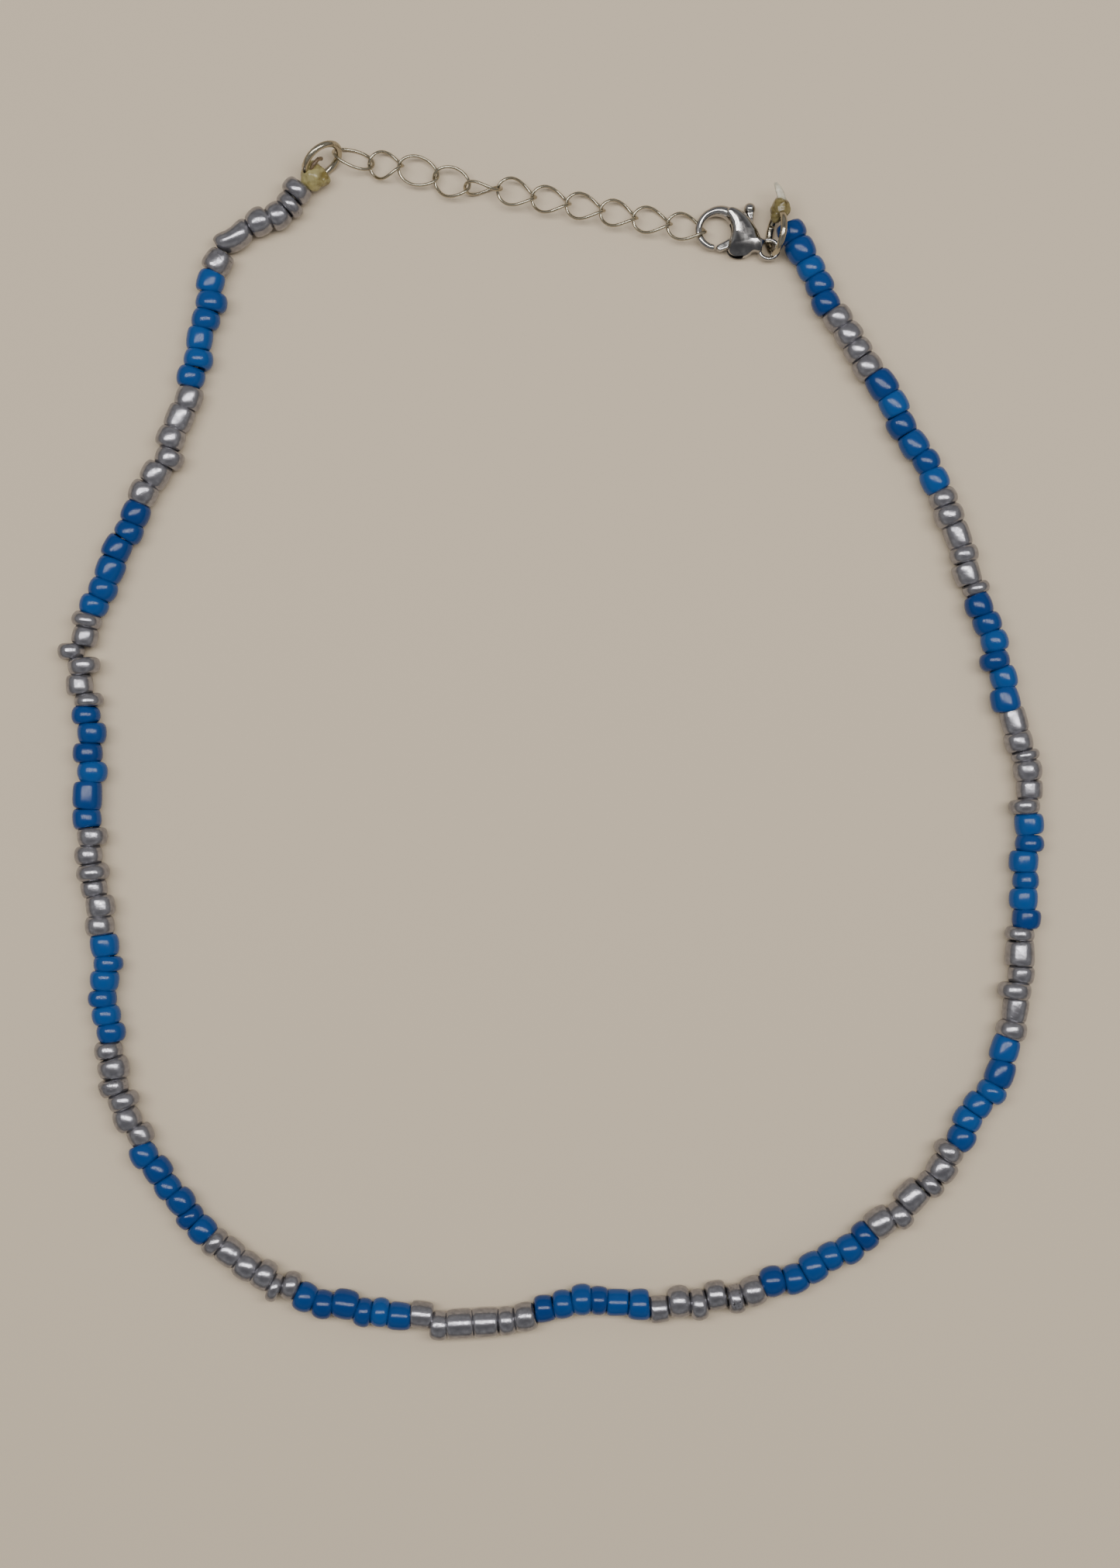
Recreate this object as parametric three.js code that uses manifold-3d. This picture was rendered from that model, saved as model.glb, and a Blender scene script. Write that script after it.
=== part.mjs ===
// A choker of blue and silver glass beads on an elastic thread, with an extender chain and a
// lobster clasp, lying closed on a flat surface. Millimetres, +Z up, surface at z = 0.
import * as THREE from 'three';
import { mergeVertices } from 'three/addons/utils/BufferGeometryUtils.js';
import Module from 'manifold-3d';

// Middle of the necklace's outline in the frame of the points below, which becomes the origin
const OUTLINE_MIDDLE = [0.1, 0.14];

// Beads
const BEAD_DIAMETER = 3.95;
const BEAD_NECK = 0.62; // radius between two beads, as a share of the bead's radius
const BEAD_SIDES = 10;
const STRING_GAP = 0.3; // between the two halves of the string

// Jump rings
const RING_DIAMETER = 6.2; // outside
const RING_WIRE = 0.9;
const RING_STEPS = 20;

// Extender chain
const LINK_WIRE = 0.42;
const LINK_WIDTH = 4.3; // outside
const LINK_CLEARANCE = 0.12;
const LINK_STEPS = 14;
const WIRE_SIDES = 6;

// Lobster clasp, in its own frame: origin in the middle of the hook's opening, x towards the
// tail eye, y towards the thumb tab, z = 0 half way through its thickness
const CLASP_THICKNESS = 2.9;
const CLASP_PLACE = [22.3, 68.75];
const CLASP_TURN = THREE.MathUtils.degToRad(-20.5);
const HOOK_OPENING = 3.8; // inside diameter
const HOOK_TIP_WIRE = 0.86;
const HOOK_WIRE = 0.95;
const SHELL_ROUNDING = 0.65;
const EYE_PLACE = [7.5, 0.05];
const EYE_HOLE = 1.95; // inside diameter
const EYE_WIRE = 0.6;
const LEVER_THICKNESS = 1.0;
const LEVER_CLEARANCE = 0.15;
const PIVOT = [3.75, 0.35];
const PIN_DIAMETER = 0.7;
const PIN_SEAT_CLEARANCE = 0.06;
const PIN_CLEARANCE = 0.12;
const HUB_DIAMETER = 1.9;
const GATE_TIP = [1.3, -2.05];
const GATE_WIDTH = 1.05;
const TAB_NECK = [3.9, 2.9];
const TAB_KNOB = [3.2, 4.3];
const TAB_KNOB_DIAMETER = 1.55;

// Knots of the thread, sealed with glue
const KNOT_GAP = 0.25;
const TAIL_WIDTH = 1.2;
const TAIL_THICKNESS = 0.5;

// The string of beads, from its left end down, along the bottom and up to its right end. Each
// run starts at a point of the route. A bead's length is a share of the run, its width and its
// lean to the left of the route are shares of BEAD_DIAMETER. Shapes: o round, b barrel, c cut
// tube, k bent.
const RUNS = [
  { glaze: 'silver', from: [-33.3, 74.9], shape: 'ooookb', length: [0.80, 0.65, 0.85, 0.95, 1.85, 1.10],
    width: [1.06, 1.02, 0.98, 1.00, 0.94, 0.98], lean: [0.05, 0.25, 0.25, 0, -0.20, -0.05] },
  { glaze: 'blue', from: [-45.2, 63.0], shape: 'booboo', length: [1.15, 1.00, 1.00, 1.10, 1.00, 1.00],
    width: [0.94, 1.08, 1.00, 0.92, 1.02, 0.98], lean: [0.05, 0.30, 0.20, 0.05, 0.10, -0.05] },
  { glaze: 'silver', from: [-48.4, 47.6], shape: 'bcoobo', length: [1.10, 1.15, 1.00, 0.90, 1.15, 1.10],
    width: [0.94, 0.94, 1.00, 1.00, 1.00, 1.00], lean: [0.10, 0.05, 0.05, 0.30, 0.10, 0] },
  { glaze: 'blue', from: [-55.2, 32.0], shape: 'oobboo', length: [1.05, 0.85, 1.15, 1.15, 1.05, 0.95],
    width: [1.00, 0.98, 0.98, 0.98, 1.00, 1.00], lean: [0.05, 0.10, 0, 0.10, 0.15, 0.05] },
  { glaze: 'silver', from: [-61.7, 17.3], shape: 'oboobo', length: [0.85, 1.00, 0.95, 0.95, 1.15, 0.75],
    width: [1.06, 0.90, 0.92, 1.10, 0.94, 1.00], lean: [-0.05, -0.05, -0.50, -0.05, -0.25, 0.05] },
  { glaze: 'blue', from: [-62.1, 4.6], shape: 'oooocb', length: [0.90, 1.10, 1.00, 1.00, 1.40, 1.05],
    width: [0.98, 1.00, 1.02, 1.02, 1.00, 1.00], lean: [-0.05, 0.15, 0, 0.15, -0.05, -0.10] },
  { glaze: 'silver', from: [-61.7, -11.5], shape: 'ooobbo', length: [0.95, 1.00, 0.90, 0.90, 1.10, 1.05],
    width: [1.02, 0.98, 1.14, 0.92, 1.02, 1.02], lean: [0.05, -0.15, -0.05, -0.10, 0.05, -0.05] },
  { glaze: 'blue', from: [-60.1, -25.9], shape: 'booooo', length: [1.20, 0.85, 1.05, 0.95, 1.00, 1.00],
    width: [0.98, 1.00, 1.00, 0.98, 1.00, 1.00], lean: [0.05, 0.15, 0, -0.10, 0, 0.10] },
  { glaze: 'silver', from: [-59.1, -40.2], shape: 'ooooob', length: [0.95, 1.10, 0.90, 0.85, 1.20, 1.00],
    width: [0.98, 1.08, 1.06, 1.10, 1.00, 0.92], lean: [-0.10, -0.05, -0.20, 0, -0.10, 0.10] },
  { glaze: 'blue', from: [-54.8, -54.0], shape: 'oooooo', length: [1.10, 1.10, 1.00, 1.10, 0.85, 1.10],
    width: [1.00, 1.00, 0.92, 1.00, 0.98, 1.00], lean: [-0.10, 0.05, 0, 0.10, 0, 0] },
  { glaze: 'silver', from: [-45.8, -66.4], shape: 'oboooo', length: [0.75, 1.10, 1.10, 0.90, 0.60, 0.80],
    width: [1.06, 0.98, 1.02, 1.08, 1.00, 1.00], lean: [0, 0.05, 0, 0.05, -0.20, 0.10] },
  { glaze: 'blue', from: [-33.9, -73.7], shape: 'ooboob', length: [1.05, 1.05, 1.20, 0.85, 0.90, 1.15],
    width: [1.02, 1.00, 1.02, 1.00, 1.00, 0.98], lean: [-0.10, -0.15, 0.05, -0.10, 0, -0.05] },
  { glaze: 'silver', from: [-18.7, -77.0], shape: 'coccoo', length: [1.10, 0.85, 1.30, 1.35, 0.85, 1.10],
    width: [0.92, 0.98, 1.02, 1.00, 0.98, 1.00], lean: [0.05, -0.30, -0.25, -0.25, -0.25, -0.15] },
  { glaze: 'blue', from: [-2.1, -76.5], shape: 'oooocb', length: [1.00, 1.00, 1.00, 0.85, 1.20, 1.10],
    width: [0.94, 1.00, 1.06, 1.00, 0.90, 1.06], lean: [0.10, 0.25, 0.40, 0.35, 0.25, 0.15] },
  { glaze: 'silver', from: [13.3, -75.9], shape: 'cooboo', length: [1.00, 1.10, 0.85, 1.05, 0.85, 1.10],
    width: [0.92, 1.10, 1.08, 1.00, 1.02, 1.06], lean: [-0.10, 0.10, -0.10, 0.10, -0.15, -0.05] },
  { glaze: 'blue', from: [28.6, -73.0], shape: 'oooooo', length: [1.10, 1.10, 1.10, 0.95, 1.10, 0.90],
    width: [1.06, 1.02, 1.06, 0.98, 1.02, 1.06], lean: [0.05, -0.15, -0.05, 0, -0.10, 0] },
  { glaze: 'silver', from: [43.1, -65.6], shape: 'bocobo', length: [1.25, 0.85, 1.35, 0.85, 1.10, 0.85],
    width: [1.06, 1.02, 1.06, 1.00, 1.02, 1.08], lean: [0.05, -0.20, 0, -0.20, -0.15, 0.05] },
  { glaze: 'blue', from: [54.2, -54.1], shape: 'oooobb', length: [1.05, 0.95, 0.95, 0.85, 1.35, 1.25],
    width: [1.00, 1.00, 0.98, 1.06, 1.00, 0.98], lean: [-0.05, 0.10, 0.05, -0.15, -0.15, 0] },
  { glaze: 'silver', from: [61.5, -39.7], shape: 'ocobco', length: [0.90, 1.20, 0.85, 0.90, 1.35, 0.70],
    width: [1.08, 0.90, 1.16, 0.94, 1.00, 1.02], lean: [0, 0, 0.15, -0.05, 0.05, 0.10] },
  { glaze: 'blue', from: [63.4, -24.9], shape: 'bbobob', length: [1.00, 1.10, 0.90, 1.10, 0.90, 1.15],
    width: [0.98, 0.98, 0.92, 1.00, 1.00, 1.00], lean: [-0.10, 0.05, 0, 0.10, -0.10, -0.10] },
  { glaze: 'silver', from: [63.8, -9.7], shape: 'ocoooc', length: [0.80, 1.00, 1.10, 0.55, 1.10, 1.25],
    width: [1.08, 0.90, 1.00, 0.98, 1.00, 0.90], lean: [0.05, -0.20, -0.20, -0.20, -0.05, -0.05] },
  { glaze: 'blue', from: [61.7, 4.4], shape: 'booooo', length: [1.15, 1.05, 0.90, 1.00, 0.95, 1.10],
    width: [1.00, 0.94, 1.06, 0.98, 0.98, 0.98], lean: [0.10, -0.05, 0.10, -0.10, -0.05, 0.05] },
  { glaze: 'silver', from: [57.2, 19.7], shape: 'ococoo', length: [0.60, 1.15, 0.85, 1.25, 1.00, 0.85],
    width: [0.94, 0.94, 1.02, 0.90, 1.06, 1.00], lean: [-0.05, 0.10, 0, 0, 0.05, 0] },
  { glaze: 'blue', from: [52.2, 33.8], shape: 'oooobb', length: [1.10, 0.95, 1.10, 1.05, 1.10, 1.30],
    width: [0.98, 0.94, 0.98, 1.00, 0.98, 1.02], lean: [0, -0.05, 0.05, 0.10, -0.05, -0.05] },
  { glaze: 'silver', from: [43.6, 49.0], shape: 'oooo', length: [0.90, 0.80, 0.90, 0.90],
    width: [1.02, 0.98, 1.00, 1.02], lean: [0.05, 0, -0.05, -0.05] },
  { glaze: 'blue', from: [37.7, 57.9], shape: 'ooooo', length: [1.05, 0.95, 0.95, 1.10, 1.00],
    width: [0.98, 0.98, 0.98, 1.02, 1.00], lean: [0.05, -0.05, -0.05, 0, 0] },
];
const STRING_END = [31.8, 69.6];
const LEFT_RUNS = 13; // the left half of the string ends after this many runs
// Half the length of each shape's full-width middle, as a share of the bead's length
const MIDDLE = { o: 0.24, b: 0.3, c: 0.38, k: 0.32 };

// The extender chain: where each link meets the next, and how each link rolls about the chain
// from its start to its end, in degrees
const CHAIN_JOINTS = [
  [-28.4, 79.0, 1.9], [-24.1, 77.6, 1.3], [-20.1, 77.4, 1.55], [-15.4, 76.0, 1.3],
  [-11.2, 74.3, 2.15], [-6.8, 74.2, 2.15], [-2.2, 73.2, 1.6], [2.4, 72.3, 1.6],
  [7.0, 71.4, 1.6], [11.4, 70.4, 1.6], [16.0, 69.6, 1.6], [20.05, 68.75, 1.45],
];
const LINK_ROLLS = [
  [-54, -38], [35, -72], [22, -32], [40, -30], [60, 120], [28, -70],
  [22, -72], [20, -72], [20, -72], [20, -72], [22, -70],
];

// Jump rings: middle, turn about Z and tilt about their own long axis, in degrees
const RING_LEFT = { middle: [-30.5, 77.8, 2.96], turn: 38, tilt: 70 };
const RING_RIGHT = { middle: [30.25, 68.05, 3.01], turn: 84, tilt: -74 };

// Knots: middle and radii of the glued lump
const KNOT_LEFT = { middle: [-31.7, 75.85, 2.2], radii: [1.8, 2.15, 1.65] };
const KNOT_RIGHT = { middle: [30.8, 71.2, 3.2], radii: [1.3, 1.7, 1.45] };
const TAIL = { from: [30.9, 72.1, 3.8], to: [30.0, 74.5, 4.0] };

const wasm = await Module();
wasm.setup();

// Manifold solid of a closed geometry
function solid(geometry) {
  const bare = new THREE.BufferGeometry();
  bare.setAttribute('position', geometry.getAttribute('position').clone());
  bare.setIndex(geometry.index);
  const merged = mergeVertices(bare, 1e-4);
  return new wasm.Manifold(new wasm.Mesh({
    numProp: 3,
    vertProperties: new Float32Array(merged.getAttribute('position').array),
    triVerts: new Uint32Array(merged.index.array),
  }));
}

function geometryOf(manifold) {
  const mesh = manifold.getMesh();
  const geometry = new THREE.BufferGeometry();
  geometry.setAttribute('position', new THREE.BufferAttribute(mesh.vertProperties, 3));
  geometry.setIndex(new THREE.BufferAttribute(mesh.triVerts, 1));
  geometry.computeVertexNormals();
  return geometry;
}

// Closed skin over rings of points. With loop it joins the last ring to the first, and
// otherwise it closes both ends.
function skin(rings, loop = false) {
  const sides = rings[0].length;
  const points = rings.flat();
  const index = [];
  const spans = loop ? rings.length : rings.length - 1;
  for (let i = 0; i < spans; i++) {
    for (let j = 0; j < sides; j++) {
      const a = i * sides + j;
      const b = i * sides + (j + 1) % sides;
      const c = ((i + 1) % rings.length) * sides + j;
      const d = ((i + 1) % rings.length) * sides + (j + 1) % sides;
      index.push(a, b, d, a, d, c);
    }
  }
  if (!loop) {
    for (const [first, flip] of [[0, true], [(rings.length - 1) * sides, false]]) {
      for (let j = 1; j < sides - 1; j++) {
        index.push(first, first + (flip ? j + 1 : j), first + (flip ? j : j + 1));
      }
    }
  }
  const geometry = new THREE.BufferGeometry().setFromPoints(points);
  geometry.setIndex(index);
  geometry.computeVertexNormals();
  return geometry;
}

// Ring of points round a middle, in the plane of two unit vectors whose cross product points
// the way the rings follow each other
function ring(middle, across, up, width, height, sides) {
  return Array.from({ length: sides }, (_, j) => {
    const angle = 2 * Math.PI * j / sides - Math.PI / 2;
    return middle.clone()
      .addScaledVector(across, Math.cos(angle) * width)
      .addScaledVector(up, Math.sin(angle) * height);
  });
}

// The string of beads
const UP = new THREE.Vector3(0, 0, 1);
const route = new THREE.CatmullRomCurve3(
  [...RUNS.map((run) => run.from), STRING_END].map(([x, y]) => new THREE.Vector3(x, y, 0)),
  false, 'catmullrom', 0.5,
);

function beads() {
  const list = [];
  RUNS.forEach((run, r) => {
    const whole = run.length.reduce((sum, share) => sum + share, 0);
    const next = r + 1 < RUNS.length ? RUNS[r + 1].from : STRING_END;
    const reach = Math.hypot(next[0] - run.from[0], next[1] - run.from[1]);
    let done = 0;
    run.length.forEach((share, b) => {
      const at = (r + (done + share / 2) / whole) / RUNS.length;
      done += share;
      const middle = route.getPoint(at);
      const along = route.getTangent(at);
      const left = new THREE.Vector3(-along.y, along.x, 0);
      const radius = run.width[b] * BEAD_DIAMETER / 2;
      middle.addScaledVector(left, run.lean[b] * BEAD_DIAMETER);
      middle.z = radius;
      list.push({ run: r, shape: run.shape[b], middle, radius, length: share / whole * reach });
    });
  });
  list.forEach((bead, i) => {
    const before = list[Math.max(i - 1, 0)].middle;
    const after = list[Math.min(i + 1, list.length - 1)].middle;
    bead.axis = after.clone().sub(before).setZ(0).normalize();
  });
  return list;
}

function neck(a, b) {
  const share = a.length / (a.length + b.length);
  return {
    middle: a.middle.clone().lerp(b.middle, share),
    axis: b.middle.clone().sub(a.middle).setZ(0).normalize(),
    radius: BEAD_NECK * Math.min(a.radius, b.radius),
  };
}

function stringSkin(all, first, last) {
  const rings = [];
  const add = (middle, axis, radius) => {
    rings.push(ring(middle, UP.clone().cross(axis), UP, radius, radius, BEAD_SIDES));
  };
  const end = (bead, sign) => {
    const inset = bead.length / 2 - STRING_GAP / 2;
    add(bead.middle.clone().addScaledVector(bead.axis, sign * inset), bead.axis,
      BEAD_NECK * bead.radius);
  };
  end(all[first], -1);
  for (let i = first; i <= last; i++) {
    const bead = all[i];
    for (const sign of [-1, 1]) {
      const shoulder = bead.middle.clone()
        .addScaledVector(bead.axis, sign * MIDDLE[bead.shape] * bead.length);
      add(shoulder, bead.axis, bead.radius);
    }
    if (i < last) {
      const between = neck(bead, all[i + 1]);
      add(between.middle, between.axis, between.radius);
    }
  }
  end(all[last], 1);
  return skin(rings);
}

// A plain cylinder round a bead, wider and longer than it by a gap, to keep other pieces clear
function beadRoom(bead, gap) {
  const cylinder = new THREE.CylinderGeometry(
    bead.radius + gap, bead.radius + gap, bead.length + 2 * gap, 16);
  cylinder.applyQuaternion(
    new THREE.Quaternion().setFromUnitVectors(new THREE.Vector3(0, 1, 0), bead.axis));
  cylinder.translate(bead.middle.x, bead.middle.y, bead.middle.z);
  return solid(cylinder);
}

// Jump rings
function jumpRing({ middle, turn, tilt }, gap = 0) {
  const torus = new THREE.TorusGeometry(
    (RING_DIAMETER - RING_WIRE) / 2, RING_WIRE / 2 + gap, WIRE_SIDES, RING_STEPS);
  const pose = new THREE.Euler(
    THREE.MathUtils.degToRad(tilt), 0, THREE.MathUtils.degToRad(turn), 'ZYX');
  torus.applyMatrix4(new THREE.Matrix4().makeRotationFromEuler(pose).setPosition(...middle));
  return torus;
}

// One link of the extender, from one joint to the next. Its wire reaches past each joint far
// enough to hold what passes through it there.
function chainLink(from, to, [rollStart, rollEnd], [wireStart, wireEnd]) {
  const start = new THREE.Vector3(...from);
  const end = new THREE.Vector3(...to);
  const along = end.clone().sub(start).normalize();
  const left = UP.clone().cross(along).normalize();
  const over = along.clone().cross(left);
  const hold = (wire) => (wire + LINK_WIRE) / 2 + LINK_CLEARANCE;
  start.addScaledVector(along, -hold(wireStart));
  end.addScaledVector(along, hold(wireEnd));
  const middle = start.clone().lerp(end, 0.5);
  const halfLength = start.distanceTo(end) / 2;
  const halfWidth = (LINK_WIDTH - LINK_WIRE) / 2;
  const point = (turn) => {
    const x = -Math.cos(turn);
    const roll = THREE.MathUtils.degToRad(rollStart + (rollEnd - rollStart) * (x + 1) / 2);
    const across = left.clone().multiplyScalar(Math.cos(roll)).addScaledVector(over, Math.sin(roll));
    return {
      across,
      at: middle.clone().addScaledVector(along, x * halfLength)
        .addScaledVector(across, Math.sin(turn) * halfWidth),
    };
  };
  const rings = [];
  for (let i = 0; i < LINK_STEPS; i++) {
    const turn = 2 * Math.PI * i / LINK_STEPS;
    const step = 0.01;
    const { at, across } = point(turn);
    const tangent = point(turn + step).at.sub(point(turn - step).at).normalize();
    const face = along.clone().cross(across);
    const side = tangent.clone().cross(face).normalize();
    const up = tangent.clone().cross(side);
    rings.push(ring(at, side, up, LINK_WIRE / 2, LINK_WIRE / 2, WIRE_SIDES));
  }
  return skin(rings, true);
}

// Lobster clasp
function plate(points, depth, rounding = 0) {
  const outline = new THREE.Shape();
  const curve = new THREE.SplineCurve([...points, points[0]].map(([x, y]) => new THREE.Vector2(x, y)));
  outline.setFromPoints(rounding ? curve.getPoints(points.length * 2).slice(0, -1)
    : points.map(([x, y]) => new THREE.Vector2(x, y)));
  const extruded = new THREE.ExtrudeGeometry(outline, {
    depth: depth - 2 * rounding, bevelEnabled: rounding > 0, bevelThickness: rounding,
    bevelSize: rounding, bevelOffset: -rounding, bevelSegments: 3, steps: 1,
  });
  extruded.translate(0, 0, -depth / 2 + rounding);
  return extruded;
}

function bar([x0, y0], [x1, y1], width0, width1, depth) {
  const outline = new THREE.Shape();
  const heading = Math.atan2(y1 - y0, x1 - x0);
  outline.absarc(x0, y0, width0 / 2, heading + Math.PI / 2, heading + 3 * Math.PI / 2, false);
  outline.absarc(x1, y1, width1 / 2, heading - Math.PI / 2, heading + Math.PI / 2, false);
  const extruded = new THREE.ExtrudeGeometry(outline, { depth, bevelEnabled: false, curveSegments: 6 });
  extruded.translate(0, 0, -depth / 2);
  return extruded;
}

function upright(diameter, height, [x, y], sides = 14) {
  const cylinder = new THREE.CylinderGeometry(diameter / 2, diameter / 2, height, sides);
  cylinder.rotateX(Math.PI / 2);
  cylinder.translate(x, y, 0);
  return cylinder;
}

// The hook's wire round its opening, from the shell round to the tip: angle in degrees, and
// width and thickness as shares of the hook's wire
const HOOK_SECTIONS = [
  { angle: 58, width: 1.7, thickness: 2.6 },
  { angle: 82, width: 1.75, thickness: 2.5 },
  { angle: 106, width: 1.5, thickness: 2.0 },
  { angle: 130, width: 1.2, thickness: 1.5 },
  { angle: 155, width: 1.05, thickness: 1.2 },
  { angle: 180, width: 1, thickness: 1.1 },
  { angle: 205, width: 1, thickness: 1.1 },
  { angle: 230, width: 1, thickness: 1.1 },
  { angle: 255, width: 0.97, thickness: 1.05 },
  { angle: 270, width: 0.94, thickness: 1 },
  { angle: 283, width: HOOK_TIP_WIRE / HOOK_WIRE, thickness: 0.95 },
];

function hook() {
  return skin(HOOK_SECTIONS.map(({ angle, width, thickness }) => {
    const turn = THREE.MathUtils.degToRad(angle);
    const out = new THREE.Vector3(Math.cos(turn), Math.sin(turn), 0);
    const middle = out.clone().multiplyScalar(HOOK_OPENING / 2 + width * HOOK_WIRE / 2);
    return ring(middle, UP, out, thickness * HOOK_WIRE / 2, width * HOOK_WIRE / 2, 10);
  }));
}

const SHELL = [
  [0.6, 3.4], [1.7, 3.65], [2.9, 3.4], [4.1, 2.8], [5.1, 2.0], [5.9, 1.2],
  [6.7, 0.8], [6.8, -0.6], [5.8, -0.95], [5.0, -1.95], [4.0, -2.5], [3.0, -2.6],
  [2.35, -2.2], [2.15, -1.4], [2.0, -0.4], [1.85, 0.7], [1.2, 1.6], [0.4, 2.4],
];
const LEVER_ROOM = [
  [0.75, -3.4], [0.75, 0.9], [2.1, 1.75], [2.75, 2.5], [2.5, 4.4], [6.2, 4.4], [5.6, 2.3], [5.0, 1.0],
  [4.95, -0.9], [4.3, -3.4],
];

function claspBody() {
  const eye = new THREE.TorusGeometry((EYE_HOLE + EYE_WIRE) / 2, EYE_WIRE / 2, 8, 18);
  eye.translate(...EYE_PLACE, 0);
  const room = plate(LEVER_ROOM, LEVER_THICKNESS + 2 * LEVER_CLEARANCE);
  return solid(plate(SHELL, CLASP_THICKNESS, SHELL_ROUNDING))
    .add(solid(hook()))
    .subtract(solid(upright(HOOK_OPENING, 2 * CLASP_THICKNESS, [0, 0], 20)))
    .subtract(solid(upright(EYE_HOLE, 2 * CLASP_THICKNESS, EYE_PLACE, 16)))
    .add(solid(eye))
    .subtract(solid(room))
    .subtract(solid(upright(PIN_DIAMETER + 2 * PIN_SEAT_CLEARANCE, 2 * CLASP_THICKNESS, PIVOT)));
}

function claspLever() {
  const knob = new THREE.SphereGeometry(TAB_KNOB_DIAMETER / 2, 12, 8);
  knob.rotateX(Math.PI / 2);
  knob.translate(...TAB_KNOB, 0);
  const neckWidth = GATE_WIDTH * 0.75;
  return solid(upright(HUB_DIAMETER, LEVER_THICKNESS, PIVOT, 16))
    .add(solid(bar(PIVOT, GATE_TIP, HUB_DIAMETER * 0.8, GATE_WIDTH, LEVER_THICKNESS)))
    .add(solid(bar(PIVOT, TAB_NECK, HUB_DIAMETER * 0.8, neckWidth, LEVER_THICKNESS)))
    .add(solid(bar(TAB_NECK, TAB_KNOB, neckWidth, TAB_KNOB_DIAMETER * 0.85, LEVER_THICKNESS * 0.9)))
    .add(solid(knob))
    .subtract(solid(upright(PIN_DIAMETER + 2 * PIN_CLEARANCE, 2 * CLASP_THICKNESS, PIVOT)));
}

// Knots: a lump of glue over the thread, cut clear of its ring and of the last bead
function lump({ middle, radii }) {
  const sphere = new THREE.SphereGeometry(1, 12, 8);
  sphere.rotateX(Math.PI / 2);
  sphere.scale(...radii);
  sphere.translate(...middle);
  return solid(sphere);
}

function knot(place, ringPlace, bead) {
  return lump(place)
    .subtract(solid(jumpRing(ringPlace, KNOT_GAP)))
    .subtract(beadRoom(bead, KNOT_GAP));
}

function tail({ from, to }) {
  const start = new THREE.Vector3(...from);
  const end = new THREE.Vector3(...to);
  const along = end.clone().sub(start).normalize();
  const across = UP.clone().cross(along).normalize();
  const up = along.clone().cross(across);
  return solid(skin([
    ring(start, across, up, TAIL_WIDTH / 2, TAIL_THICKNESS / 2, 8),
    ring(end, across, up, TAIL_WIDTH / 3, TAIL_THICKNESS / 3, 8),
  ]));
}

// Assembly
const glass = new THREE.MeshStandardMaterial({ color: 0x0b4f96, roughness: 0.25 });
const steel = new THREE.MeshStandardMaterial({ color: 0x9a9894, roughness: 0.15, metalness: 1 });
const silverWire = new THREE.MeshStandardMaterial({ color: 0xcfc8b8, roughness: 0.25, metalness: 1 });
const glue = new THREE.MeshStandardMaterial({ color: 0x8c8350, roughness: 0.3 });

const necklace = new THREE.Group();
necklace.position.set(-OUTLINE_MIDDLE[0], -OUTLINE_MIDDLE[1], 0);
function piece(name, geometry, material, parent = necklace) {
  const mesh = new THREE.Mesh(geometry, material);
  mesh.name = name;
  parent.add(mesh);
}

const allBeads = beads();
const leftBeads = allBeads.filter((bead) => bead.run < LEFT_RUNS).length;
const lastBead = allBeads[allBeads.length - 1];
piece('bead_string_left', stringSkin(allBeads, 0, leftBeads - 1), glass);
piece('bead_string_right', stringSkin(allBeads, leftBeads, allBeads.length - 1), glass);

piece('jump_ring_left', jumpRing(RING_LEFT), silverWire);
piece('jump_ring_right', jumpRing(RING_RIGHT), silverWire);
piece('thread_knot_left', geometryOf(knot(KNOT_LEFT, RING_LEFT, allBeads[0])), glue);
const rightKnot = knot(KNOT_RIGHT, RING_RIGHT, lastBead)
  .add(tail(TAIL).subtract(solid(jumpRing(RING_RIGHT, KNOT_GAP))));
piece('thread_knot_right', geometryOf(rightKnot), glue);

const linkCount = LINK_ROLLS.length;
LINK_ROLLS.forEach((rolls, i) => {
  // Between two links the joint is half way through both wires, and at the chain's ends it is
  // the middle of the jump ring's or the hook's wire.
  const between = -LINK_CLEARANCE;
  const wires = [i === 0 ? RING_WIRE : between, i === linkCount - 1 ? HOOK_WIRE * 1.1 : between];
  const name = `chain_link_${String(i + 1).padStart(2, '0')}`;
  piece(name, chainLink(CHAIN_JOINTS[i], CHAIN_JOINTS[i + 1], rolls, wires), silverWire);
});

const clasp = new THREE.Group();
clasp.position.set(...CLASP_PLACE, CLASP_THICKNESS / 2);
clasp.rotation.z = CLASP_TURN;
necklace.add(clasp);
piece('clasp_body', geometryOf(claspBody()), steel, clasp);
piece('clasp_lever', geometryOf(claspLever()), steel, clasp);
piece('clasp_pin', upright(PIN_DIAMETER, CLASP_THICKNESS - 0.2, PIVOT), steel, clasp);

export default necklace;
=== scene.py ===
import math
import random

import bmesh
import bpy
import numpy as np
from mathutils import Matrix, Vector


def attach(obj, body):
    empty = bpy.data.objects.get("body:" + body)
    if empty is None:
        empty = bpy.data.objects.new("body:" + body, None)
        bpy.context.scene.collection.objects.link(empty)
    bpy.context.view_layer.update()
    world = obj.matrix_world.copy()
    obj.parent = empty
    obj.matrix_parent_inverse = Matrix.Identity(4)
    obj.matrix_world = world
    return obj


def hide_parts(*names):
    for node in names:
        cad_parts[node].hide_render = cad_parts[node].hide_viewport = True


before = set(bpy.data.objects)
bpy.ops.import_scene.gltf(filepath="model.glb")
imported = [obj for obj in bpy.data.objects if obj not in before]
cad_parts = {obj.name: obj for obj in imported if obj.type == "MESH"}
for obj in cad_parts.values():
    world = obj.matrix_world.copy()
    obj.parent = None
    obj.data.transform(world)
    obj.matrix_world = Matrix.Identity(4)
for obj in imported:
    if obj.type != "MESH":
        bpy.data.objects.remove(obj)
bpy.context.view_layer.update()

MM = 0.001
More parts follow.
